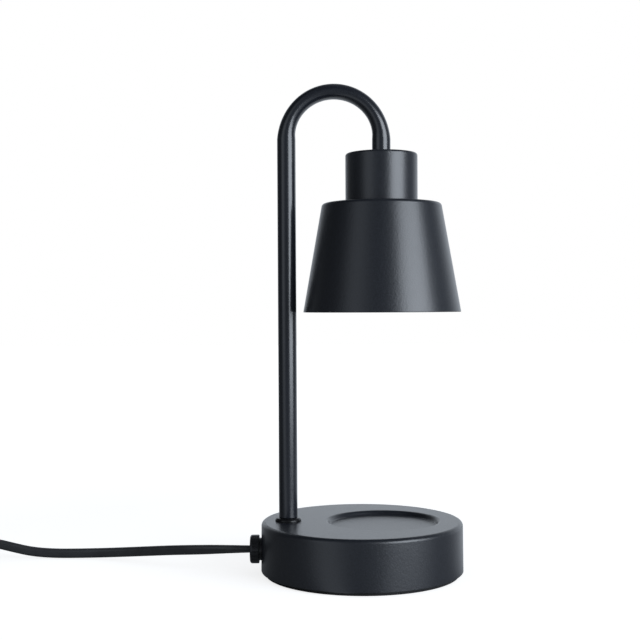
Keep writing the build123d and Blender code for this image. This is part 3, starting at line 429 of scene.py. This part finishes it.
def gloss_black():
    """Gloss black enamel with a faint unevenness."""
    finish = Finish("gloss_black", Specular_IOR_Level=0.3)
    grain = finish.grain(fine=1500, broad=260)
    finish.tint(grain["Broad"], (0.0035, 0.0036, 0.0042), (0.0060, 0.0062, 0.0070))
    finish.vary("Roughness", grain["Broad"], 0.28, 0.36)
    finish.bump(grain["Fine"], depth=0.002)
    return finish.material


def moulded_black(name, dark, light, roughness, relief):
    """Black moulded plastic with a spark-eroded skin."""
    finish = Finish(name)
    grain = finish.grain(fine=1900, broad=160)
    cells = finish.cells(scale=2600)
    finish.tint(grain["Broad"], dark, light)
    finish.vary("Roughness", grain["Fine"], roughness - 0.05, roughness + 0.06)
    finish.bump(cells["Height"], depth=relief)
    finish.bump(grain["Fine"], depth=relief / 2)
    return finish.material


def black_nylon():
    """Moulded nylon of the gland."""
    dark = (0.0175, 0.0180, 0.0206)
    light = (0.0250, 0.0258, 0.0294)
    return moulded_black("black_nylon", dark, light, roughness=0.28, relief=0.006)


def dimmer_plastic():
    """Textured case of the dimmer."""
    dark = (0.0130, 0.0132, 0.0140)
    light = (0.0185, 0.0188, 0.0200)
    return moulded_black("dimmer_plastic", dark, light, roughness=0.48, relief=0.02)


def wheel_plastic():
    """Slightly greyer thumb wheel."""
    dark = (0.045, 0.046, 0.048)
    light = (0.062, 0.063, 0.066)
    return moulded_black("wheel_plastic", dark, light, roughness=0.42, relief=0.008)


def plug_plastic():
    """Vinyl of the moulded plug and its strain relief."""
    dark = (0.0125, 0.0127, 0.0135)
    light = (0.0180, 0.0183, 0.0195)
    return moulded_black("plug_plastic", dark, light, roughness=0.44, relief=0.010)


def component_dark():
    """Dark moulded electronic parts."""
    dark = (0.010, 0.010, 0.0105)
    light = (0.018, 0.018, 0.019)
    return moulded_black("component_dark", dark, light, roughness=0.5, relief=0.008)


def soft_rubber():
    """Matt black rubber with a dusty bloom."""
    finish = Finish("soft_rubber")
    grain = finish.grain(fine=2200, broad=240)
    finish.tint(grain["Broad"], (0.008, 0.008, 0.008), (0.016, 0.016, 0.0165))
    finish.vary("Roughness", grain["Fine"], 0.66, 0.82)
    finish.bump(grain["Fine"], depth=0.012)
    return finish.material


def cord_sheath():
    """Satin vinyl of the flat cord."""
    finish = Finish("cord_sheath")
    grain = finish.grain(fine=1700, broad=130)
    finish.tint(grain["Broad"], (0.0255, 0.0260, 0.0282), (0.0350, 0.0358, 0.0388))
    finish.vary("Roughness", grain["Fine"], 0.32, 0.42)
    finish.bump(grain["Fine"], depth=0.006)
    return finish.material


def pad_foam():
    """Closed-cell foam of the foot pad."""
    finish = Finish("pad_foam")
    cells = finish.cells(scale=1500)
    finish.tint(cells["Tone"], (0.008, 0.008, 0.009), (0.016, 0.016, 0.017), start=0.0, end=1.0)
    finish.vary("Roughness", cells["Tone"], 0.82, 0.95, start=0.0, end=1.0)
    finish.bump(cells["Height"], depth=0.08)
    return finish.material


def cast_weight():
    """Raw grey iron casting with a sandy skin."""
    finish = Finish("cast_weight", Metallic=0.7)
    grain = finish.grain(fine=900, broad=70)
    finish.tint(grain["Broad"], (0.055, 0.053, 0.052), (0.12, 0.115, 0.11))
    finish.vary("Roughness", grain["Fine"], 0.55, 0.8)
    finish.bump(grain["Fine"], depth=0.12)
    return finish.material


def bright_metal(name, dark, light, roughness, spangle):
    """Plated metal with a faint crystal pattern."""
    finish = Finish(name, Metallic=1.0)
    cells = finish.cells(scale=spangle)
    grain = finish.grain(fine=2600, broad=300)
    finish.tint(cells["Tone"], dark, light, start=0.0, end=1.0)
    finish.vary("Roughness", grain["Broad"], roughness - 0.06, roughness + 0.08)
    finish.bump(grain["Fine"], depth=0.003)
    return finish.material


def zinc_steel():
    """Zinc-plated steel of the fasteners, cover and strap."""
    dark = (0.50, 0.515, 0.54)
    light = (0.62, 0.635, 0.65)
    return bright_metal("zinc_steel", dark, light, roughness=0.34, spangle=420)


def contact_brass():
    """Pressed brass."""
    dark = (0.72, 0.50, 0.20)
    light = (0.82, 0.61, 0.28)
    return bright_metal("contact_brass", dark, light, roughness=0.28, spangle=700)


def plated_pins():
    """Bright nickel plating."""
    dark = (0.66, 0.64, 0.60)
    light = (0.74, 0.72, 0.68)
    return bright_metal("plated_pins", dark, light, roughness=0.2, spangle=900)


def ceramic_white():
    """Steatite ceramic, off-white with fine specks."""
    finish = Finish("ceramic_white")
    grain = finish.grain(fine=1400, broad=320)
    finish.tint(grain["Fine"], (0.52, 0.49, 0.43), (0.74, 0.71, 0.65), start=0.18, end=0.36)
    finish.vary("Roughness", grain["Broad"], 0.42, 0.58)
    finish.bump(grain["Fine"], depth=0.010)
    return finish.material


def reflector_glass():
    """Pressed glass reflector with a bright aluminium film and small facets."""
    finish = Finish("reflector_glass", Metallic=1.0)
    cells = finish.cells(scale=300)
    finish.tint(cells["Tone"], (0.74, 0.75, 0.77), (0.86, 0.87, 0.88), start=0.0, end=1.0)
    finish.vary("Roughness", cells["Tone"], 0.10, 0.2, start=0.0, end=1.0)
    finish.bump(cells["Height"], depth=0.25)
    return finish.material


def clear_glass(name, relief, scale):
    """Clear pressed glass with a soft ripple."""
    finish = Finish(name, Transmission_Weight=1.0, IOR=1.5)
    grain = finish.grain(fine=scale, broad=scale / 3)
    finish.tint(grain["Broad"], (0.95, 0.97, 0.965), (0.985, 0.99, 0.99))
    finish.vary("Roughness", grain["Broad"], 0.01, 0.05)
    finish.bump(grain["Fine"], depth=relief)
    return finish.material


def lens_glass():
    """Pebbled front glass of the bulb."""
    return clear_glass("lens_glass", relief=0.10, scale=420)


def burner_glass():
    """Smooth quartz capsule."""
    return clear_glass("burner_glass", relief=0.005, scale=200)


def wire_skin(name, dark, light):
    """Coloured vinyl of a single wire."""
    finish = Finish(name)
    grain = finish.grain(fine=1600, broad=220)
    finish.tint(grain["Broad"], dark, light)
    finish.vary("Roughness", grain["Fine"], 0.36, 0.48)
    finish.bump(grain["Fine"], depth=0.004)
    return finish.material


def core_insulation():
    """Pale grey cores of the cord."""
    return wire_skin("core_insulation", (0.30, 0.30, 0.31), (0.40, 0.40, 0.41))


def lead_brown():
    """Brown live lead."""
    return wire_skin("lead_brown", (0.085, 0.032, 0.014), (0.13, 0.052, 0.024))


def lead_blue():
    """Blue neutral lead."""
    return wire_skin("lead_blue", (0.018, 0.075, 0.25), (0.03, 0.11, 0.34))


def component_yellow():
    """Yellow film wrap of the capacitor."""
    return wire_skin("component_yellow", (0.62, 0.38, 0.03), (0.75, 0.49, 0.06))


def clear_nylon():
    """Milky nylon of the splices and the bush."""
    finish = Finish("clear_nylon", Subsurface_Weight=0.3, Subsurface_Radius=(0.002, 0.002, 0.002))
    grain = finish.grain(fine=1500, broad=180)
    finish.tint(grain["Broad"], (0.60, 0.60, 0.57), (0.74, 0.74, 0.71))
    finish.vary("Roughness", grain["Fine"], 0.34, 0.46)
    finish.bump(grain["Fine"], depth=0.004)
    return finish.material


def board_laminate():
    """Green circuit board with the glass weave showing through."""
    finish = Finish("board_laminate")
    place = finish.add("ShaderNodeTexCoord")
    weave = finish.add("ShaderNodeTexChecker", Scale=2200.0)
    finish.link(place.outputs["Object"], weave.inputs["Vector"])
    grain = finish.grain(fine=1800, broad=200)
    finish.tint(grain["Broad"], (0.010, 0.085, 0.030), (0.020, 0.14, 0.055))
    finish.vary("Roughness", grain["Fine"], 0.28, 0.4)
    finish.bump(weave.outputs["Fac"], depth=0.004)
    return finish.material


# All finishes, each under the name of its slot in the record, and the arm's own
FINISHES = [
    powder_coat, arm_coat, gloss_black, black_nylon, dimmer_plastic, wheel_plastic, plug_plastic,
    soft_rubber, cord_sheath, pad_foam, cast_weight, zinc_steel, contact_brass, plated_pins,
    ceramic_white, reflector_glass, lens_glass, burner_glass, core_insulation, lead_brown, lead_blue,
    clear_nylon, board_laminate, component_dark, component_yellow]

# Nodes with a finish of their own, other than their slot's
OWN_FINISH = {"arm_tube": "arm_coat"}


def cover(piece, material):
    """One finish all over a piece."""
    if piece.material_slots:
        piece.material_slots[0].material = material
    else:
        piece.data.materials.append(material)


def dress(cords):
    """Every node and cord gets the finish of its slot."""
    finishes = {}
    for make in FINISHES:
        finishes[make.__name__] = make()
    for subpart in frame["record"]["subparts"]:
        name = subpart["node"]
        finish = OWN_FINISH.get(name, subpart["material_slot"])
        cover(nodes[name], finishes[finish])
    for piece in cords:
        cover(piece, finishes["cord_sheath"])


def studio_world():
    """White to the camera, the surround in reflections, and a plain even light on matt surfaces."""
    world = bpy.data.worlds.new("studio")
    bpy.context.scene.world = world
    world.use_nodes = True
    world.node_tree.nodes.clear()
    sheet = Sheet(world.node_tree)
    ray = sheet.add("ShaderNodeLightPath").outputs
    toward = sheet.add("ShaderNodeSeparateXYZ")
    sheet.link(sheet.add("ShaderNodeTexCoord").outputs["Generated"], toward.inputs["Vector"])
    surround = sheet.shared(STUDIO)
    sheet.link(toward.outputs["X"], surround.inputs["X"])
    sheet.link(toward.outputs["Y"], surround.inputs["Y"])
    ceiling = sheet.stretch(toward.outputs["Z"], CEILING_START, CEILING_END, 1.0, CEILING_LEVEL)
    level = sheet.reckon("MULTIPLY", surround.outputs["Level"], ceiling)

    mirrored = sheet.add("ShaderNodeBackground", Color=(*COOL_WHITE, 1))
    sheet.link(level, mirrored.inputs["Strength"])
    even = sheet.add("ShaderNodeBackground", Color=(*COOL_WHITE, 1), Strength=AMBIENT)
    white = sheet.add("ShaderNodeBackground", Color=(1, 1, 1, 1), Strength=1.0)
    mirror_ray = sheet.reckon("MAXIMUM", ray["Is Glossy Ray"], ray["Is Transmission Ray"])
    bounced = sheet.join("ShaderNodeMixShader", mirror_ray, even.outputs[0], mirrored.outputs[0])
    whole = sheet.join("ShaderNodeMixShader", ray["Is Camera Ray"], bounced, white.outputs[0])
    sheet.link(whole, sheet.add("ShaderNodeOutputWorld").inputs["Surface"])


def floor_finish():
    """Pale matt floor: a white glow for the camera, and the surround's light and dark when mirrored."""
    material = bpy.data.materials.new("floor")
    material.use_nodes = True
    material.node_tree.nodes.clear()
    sheet = Sheet(material.node_tree)
    ray = sheet.add("ShaderNodeLightPath").outputs
    place = sheet.add("ShaderNodeTexCoord").outputs["Object"]
    away = sheet.add("ShaderNodeVectorMath")
    away.operation = "LENGTH"
    sheet.link(place, away.inputs[0])
    seen = sheet.stretch(away.outputs["Value"], FLOOR_NEAR, FLOOR_FAR, FLOOR_GLOW, 1.0)
    part = sheet.add("ShaderNodeSeparateXYZ")
    sheet.link(place, part.inputs["Vector"])
    surround = sheet.shared(STUDIO)
    sheet.link(part.outputs["X"], surround.inputs["X"])
    sheet.link(sheet.reckon("SUBTRACT", part.outputs["Y"], FLOOR_MIDDLE_Y), surround.inputs["Y"])
    shine = sheet.reckon("MULTIPLY", surround.outputs["Level"], FLOOR_SHINE)

    white = sheet.add("ShaderNodeEmission", Color=(1, 1, 1, 1))
    sheet.link(sheet.reckon("MULTIPLY", ray["Is Camera Ray"], seen), white.inputs["Strength"])
    mirrored = sheet.add("ShaderNodeEmission", Color=(*COOL_WHITE, 1))
    sheet.link(sheet.reckon("MULTIPLY", ray["Is Glossy Ray"], shine), mirrored.inputs["Strength"])
    matt = sheet.add("ShaderNodeBsdfDiffuse")
    tone = sheet.stretch(ray["Is Glossy Ray"], 0.0, 1.0, FLOOR_TONE, FLOOR_MIRRORED)
    sheet.link(tone, matt.inputs["Color"])
    lit = sheet.join("ShaderNodeAddShader", matt.outputs[0], white.outputs[0])
    whole = sheet.join("ShaderNodeAddShader", lit, mirrored.outputs[0])
    sheet.link(whole, sheet.add("ShaderNodeOutputMaterial").inputs["Surface"])
    return material


def make_floor():
    """A wide pale floor that reads white to the camera and still takes the lamp's shadow."""
    clear_selection()
    bpy.ops.mesh.primitive_plane_add(size=FLOOR_SIZE, location=(0, 0, -FLOOR_DROP))
    floor = bpy.context.view_layer.objects.active
    floor.name = "floor"
    floor.data.materials.append(floor_finish())


def make_key_light():
    """One large soft light to the right of the camera, turned to the lamp."""
    data = bpy.data.lights.new("key", "AREA")
    data.shape = "RECTANGLE"
    data.size = KEY_WIDTH
    data.size_y = KEY_TALL
    data.energy = KEY_WATTS
    data.color = COOL_WHITE
    light = bpy.data.objects.new("key", data)
    right = KEY_DISTANCE * sin(radians(KEY_ANGLE))
    front = KEY_DISTANCE * cos(radians(KEY_ANGLE))
    light.location = (right, -front, KEY_HEIGHT)
    aim = Vector((0, 0, KEY_HEIGHT)) - light.location
    light.rotation_euler = aim.to_track_quat("-Z", "Y").to_euler()
    bpy.context.scene.collection.objects.link(light)


bpy.context.scene.view_settings.view_transform = "Standard"
make_camera()
dress(make_cords())
studio_world()
make_floor()
make_key_light()
